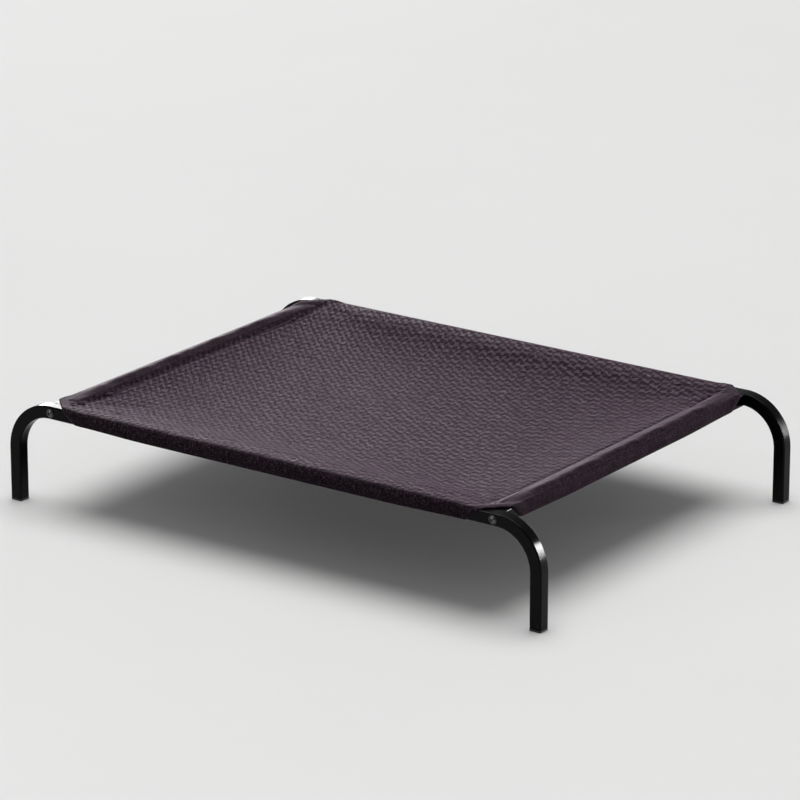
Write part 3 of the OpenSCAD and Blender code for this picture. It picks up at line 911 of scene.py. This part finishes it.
class COT_OT_make_cover(bpy.types.Operator):
    """Sews the cover: panel, four sleeves and their hems from one flat sheet"""

    bl_idname = "cot.make_cover"
    bl_label = "Make Cover"

    # Distance from a cut within which a point counts as on it
    CUT_TOLERANCE = 1e-5

    def execute(self, context):
        shape = CoverShape(context.scene)
        columns, rows = shape.stations(0), shape.stations(1)
        grid = np.stack(np.meshgrid(columns, rows, indexing="ij"), -1).reshape(-1, 2)
        made = mesh_object("cover_sheet", np.pad(grid, ((0, 0), (0, 1))), grid_faces(len(columns), len(rows)))
        self.cut_corners(made, shape.cut)
        flat = np.empty(len(made.data.vertices) * 3)
        made.data.vertices.foreach_get("co", flat)
        s, t = flat[0::3].copy(), flat[1::3].copy()
        keep_flat_places(made, s, t)
        made.data.vertices.foreach_set("co", shape.surface(s, t).ravel())
        made.data.update()
        thicken(made, shape.cover.thickness)
        wear(made, make_fabric(context.scene.cot_finish, shape.lip))
        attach(made, BODY)
        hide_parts("cover")
        return {"FINISHED"}

    def cut_corners(self, made, cut):
        """Trims the flat sheet along its four 45 degree corners"""
        work = bmesh.new()
        work.from_mesh(made.data)
        for x, y in CORNERS.values():
            across = Vector((x, y, 0)).normalized()
            bmesh.ops.bisect_plane(
                work, geom=[*work.verts, *work.edges, *work.faces], dist=self.CUT_TOLERANCE,
                plane_co=across * cut / math.sqrt(2), plane_no=across, clear_outer=True)
        work.to_mesh(made.data)
        work.free()


class COT_OT_make_mouth_hems(bpy.types.Operator):
    """Turns a hem under along each cut corner of the cover"""

    bl_idname = "cot.make_mouth_hems"
    bl_label = "Make Mouth Hems"

    # Points along a hem, round its fold, and over its turned part
    POINTS_ALONG = 84
    FOLD_POINTS = 7
    FLAT_POINTS = 4

    def execute(self, context):
        shape = CoverShape(context.scene)
        cover = shape.cover
        fabric = bpy.data.objects["cover_sheet"].data.materials[0]
        along = np.linspace(shape.cut - shape.half[1], shape.half[0], self.POINTS_ALONG)[:, None]
        fold = (cover.thickness + cover.gap) / 2
        turn = np.linspace(0, math.pi, self.FOLD_POINTS)
        turned = np.linspace(0, cover.mouth_hem, self.FLAT_POINTS + 1)[1:]
        inward = np.concatenate([-fold * np.sin(turn), turned]) / math.sqrt(2)
        depth = np.concatenate([fold * (np.cos(turn) - 1), np.full(self.FLAT_POINTS, -2 * fold)])
        s = (along - inward).ravel()
        t = (shape.cut - along - inward).ravel()
        offset = np.tile(depth, self.POINTS_ALONG)
        for name, (x, y) in CORNERS.items():
            points = shape.surface(x * s, y * t, offset)
            made = mesh_object(f"mouth_hem_{name}", points, grid_faces(self.POINTS_ALONG, len(depth)))
            keep_flat_places(made, x * s, y * t)
            thicken(made, cover.thickness)
            wear(made, fabric)
            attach(made, BODY)
        return {"FINISHED"}


class COT_OT_make_stitching(bpy.types.Operator):
    """Sews the stitch rows through panel and hems, above and below, and round each sleeve's mouth"""

    bl_idname = "cot.make_stitching"
    bl_label = "Make Stitching"

    # Place of the row round a mouth, as a share of the mouth's hem
    MOUTH_ROW = 0.7
    # Rings of a stitch: place along it in stitch lengths, size and rise in thread widths
    RINGS = ((-0.3, 0.8, 0.1), (0.0, 1.0, 0.25), (0.3, 0.8, 0.1))
    # Points of one ring: to the side and up
    RING_POINTS = ((-1, 0), (0, 1), (1, 0), (0, -1))
    # Height of the thread in thread widths
    THREAD_HEIGHT = 0.8
    # Tips of a stitch, which dip into the fabric: place along it, to the side, and rise
    TIPS = ((-0.5, 0.0, -0.3), (0.5, 0.0, -0.3))

    def execute(self, context):
        shape = CoverShape(context.scene)
        rows = [*self.hem_rows(shape), *self.mouth_rows(shape)]
        points = np.concatenate([self.stitches(shape, s, t, along) for s, t, along in rows])
        made = mesh_object("hem_stitches", points, self.stitch_faces(len(points)))
        wear(made, make_thread(context.scene.cot_finish))
        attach(made, BODY)
        return {"FINISHED"}

    @staticmethod
    def hem_rows(shape):
        """Flat places and direction of each row along the four hems"""
        for axis in (0, 1):
            half = shape.cut - shape.half[axis] - shape.cover.mouth_hem
            line = np.arange(-half, half, shape.stitch.pitch)
            for row in np.concatenate(shape.sewn_rows(axis)):
                for side in (-1, 1):
                    fixed = np.full_like(line, side * row)
                    yield (fixed, line, (0.0, 1.0)) if axis == 0 else (line, fixed, (1.0, 0.0))

    def mouth_rows(self, shape):
        """Flat places and direction of the row inside each cut corner"""
        diagonal = math.sqrt(0.5)
        inward = self.MOUTH_ROW * shape.cover.mouth_hem * diagonal
        line = np.arange(shape.cut - shape.half[1], shape.half[0], shape.stitch.pitch * diagonal)
        for x, y in CORNERS.values():
            s, t = x * (line - inward), y * (shape.cut - line - inward)
            yield s, t, (x * diagonal, -y * diagonal)

    def stitches(self, shape, s, t, along):
        """Points of the stitches in one row: the rings of each and its two tips"""
        stitch = shape.stitch
        spots = [
            (run, side * size, rise + self.THREAD_HEIGHT * up * size / 2)
            for run, size, rise in self.RINGS
            for side, up in self.RING_POINTS
        ]
        run, side, rise = np.array([*spots, *self.TIPS]).T
        ahead, beside = run * stitch.length, side * stitch.width / 2
        places_s = (s[:, None] + ahead * along[0] - beside * along[1]).ravel()
        places_t = (t[:, None] + ahead * along[1] + beside * along[0]).ravel()
        offset = np.tile(shape.cover.thickness / 2 + rise * stitch.width, len(s))
        return shape.surface(places_s, places_t, offset)

    def stitch_faces(self, count):
        """Faces that close every stitch"""
        ring, rings = len(self.RING_POINTS), len(self.RINGS)
        first_tip, last_tip = ring * rings, ring * rings + 1
        turns = [(k, (k + 1) % ring) for k in range(ring)]
        one = []
        for start in range(0, ring * (rings - 1), ring):
            one += [(start + a, start + b, start + ring + b, start + ring + a) for a, b in turns]
        one += [(b, a, first_tip) for a, b in turns]
        one += [(first_tip - ring + a, first_tip - ring + b, last_tip) for a, b in turns]
        return [tuple(start + k for k in face) for start in range(0, count, last_tip + 1) for face in one]


# Cards that light the gloss alone, and one that fills the matt surfaces alone
SOFTBOXES = {
    "back_left_card": {
        "place": (-6.9, 7.2, 1.5), "aim": (-0.6, -0.4, 0.2), "size": (2.4, 4.4), "power": 330},
    "back_right_card": {
        "place": (3.95, 4.39, 1.3), "aim": (0.6, -0.4, 0.15), "size": (0.55, 2.6), "power": 330},
    "front_card": {
        "place": (-2.6, -4.6, 3.6), "aim": (0.0, -0.4, 0.2), "size": (0.7, 0.7), "power": 110},
    "front_fill": {
        "place": (-1.5, -6.0, 1.2), "aim": (0.0, -0.4, 0.2), "size": (2.0, 2.0), "power": 45, "fills": True},
}


class COT_OT_set_stage(bpy.types.Operator):
    """Sets the floor, the lamps and the camera"""

    bl_idname = "cot.set_stage"
    bl_label = "Set Stage"

    # How squarely a direction faces the glow, from its edge to its full strength
    GLOW_FACING = (0.3, 0.95)
    # Heights of a direction between which the glow fades
    GLOW_HEIGHT = (0.02, 0.28)
    # Width of the camera's sensor in millimetres, and how far the camera sees
    SENSOR_WIDTH = 36.0
    SIGHT = 200.0

    def execute(self, context):
        stage = context.scene.cot_stage
        half = stage.floor_size / 2
        corners = [(x * half, y * half, 0) for x, y in ((-1, -1), (1, -1), (1, 1), (-1, 1))]
        floor = mesh_object("floor", corners, [(0, 1, 2, 3)])
        wear(floor, make_floor_finish(stage))
        self.light_world(context.scene, stage)
        self.key_light(stage)
        for name, softbox in SOFTBOXES.items():
            self.softbox(name, **softbox)
        self.place_camera(context.scene, stage)
        context.scene.view_settings.view_transform = "Standard"
        return {"FINISHED"}

    def light_world(self, scene, stage):
        """Even light from all round, with a glow low down behind the cot"""
        world = bpy.data.worlds.new("soft_room")
        world.use_nodes = True
        wires = Wiring(world.node_tree)
        direction = wires.add("TexCoord").outputs["Generated"]
        facing = wires.add("VectorMath", operation="DOT_PRODUCT")
        wires.feed(facing.inputs[0], direction)
        wires.feed(facing.inputs[1], tuple(stage.glow_from))
        behind = wires.remap(facing.outputs["Value"], *self.GLOW_FACING)
        low = wires.remap(wires.split(direction)["Z"], *self.GLOW_HEIGHT, to_low=1.0, to_high=0.0)
        wires.fill(world.node_tree.nodes["Background"], {
            "Color": (1.0, 1.0, 1.0, 1.0),
            "Strength": wires.math("MULTIPLY_ADD", wires.times(behind, low), stage.glow, stage.sky),
        })
        scene.world = world

    @staticmethod
    def key_light(stage):
        """Broad even light from above"""
        light = bpy.data.lights.new("key_light", "SUN")
        light.energy = stage.key
        light.angle = stage.key_spread
        aimed_object("key_light", light, Vector(), -Vector(stage.key_from))

    @staticmethod
    def softbox(name, place, aim, size, power, fills=False):
        """Card that shows in gloss alone, or one that fills matt surfaces and shows in none"""
        light = bpy.data.lights.new(name, "AREA")
        light.shape = "ELLIPSE"
        light.size, light.size_y = size
        light.energy = power
        made = aimed_object(name, light, place, Vector(aim) - Vector(place))
        made.visible_diffuse, made.visible_glossy = fills, not fills

    def place_camera(self, scene, stage):
        """Camera that looks down on the cot past its right front corner"""
        level = math.cos(stage.elevation)
        back = Vector((math.sin(stage.azimuth) * level, -math.cos(stage.azimuth) * level,
                       math.sin(stage.elevation)))
        camera = bpy.data.cameras.new("camera")
        camera.sensor_width = self.SENSOR_WIDTH
        camera.sensor_fit = "HORIZONTAL"
        camera.lens = stage.lens
        camera.clip_end = self.SIGHT
        scene.camera = aimed_object("camera", camera, Vector(stage.aim) + back * stage.distance, -back)


class COT_PT_panel(bpy.types.Panel):
    """Lists the cot's pieces and settings in the sidebar"""

    bl_idname = "COT_PT_panel"
    bl_label = "Raised Dog Cot"
    bl_space_type = "VIEW_3D"
    bl_region_type = "UI"
    bl_category = "Dog Cot"

    def draw(self, context):
        for step in STEPS:
            self.layout.operator(step.bl_idname)
        for group in SETTINGS:
            box = self.layout.box()
            held = getattr(context.scene, group)
            for name in held.__annotations__:
                box.prop(held, name)


STEPS = (
    COT_OT_dress_frame,
    COT_OT_dress_fasteners,
    COT_OT_dress_feet,
    COT_OT_make_cover,
    COT_OT_make_mouth_hems,
    COT_OT_make_stitching,
    COT_OT_set_stage,
)
SETTINGS = {
    "cot_cover": CotCoverSettings,
    "cot_stitch": CotStitchSettings,
    "cot_finish": CotFinishSettings,
    "cot_stage": CotStageSettings,
}


def register():
    """Adds the classes and the scene's settings"""
    for made in (*SETTINGS.values(), *STEPS, COT_PT_panel):
        bpy.utils.register_class(made)
    for name, kind in SETTINGS.items():
        setattr(bpy.types.Scene, name, PointerProperty(type=kind))


def unregister():
    """Takes the settings and the classes away"""
    for name in SETTINGS:
        delattr(bpy.types.Scene, name)
    for made in reversed((*SETTINGS.values(), *STEPS, COT_PT_panel)):
        bpy.utils.unregister_class(made)


def main():
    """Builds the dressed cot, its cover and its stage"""
    register()
    for make in (make_weave_group, make_dust_group, make_scuff_group):
        make()
    bpy.ops.cot.dress_frame()
    bpy.ops.cot.dress_fasteners()
    bpy.ops.cot.dress_feet()
    bpy.ops.cot.make_cover()
    bpy.ops.cot.make_mouth_hems()
    bpy.ops.cot.make_stitching()
    bpy.ops.cot.set_stage()


if __name__ == "__main__":
    main()
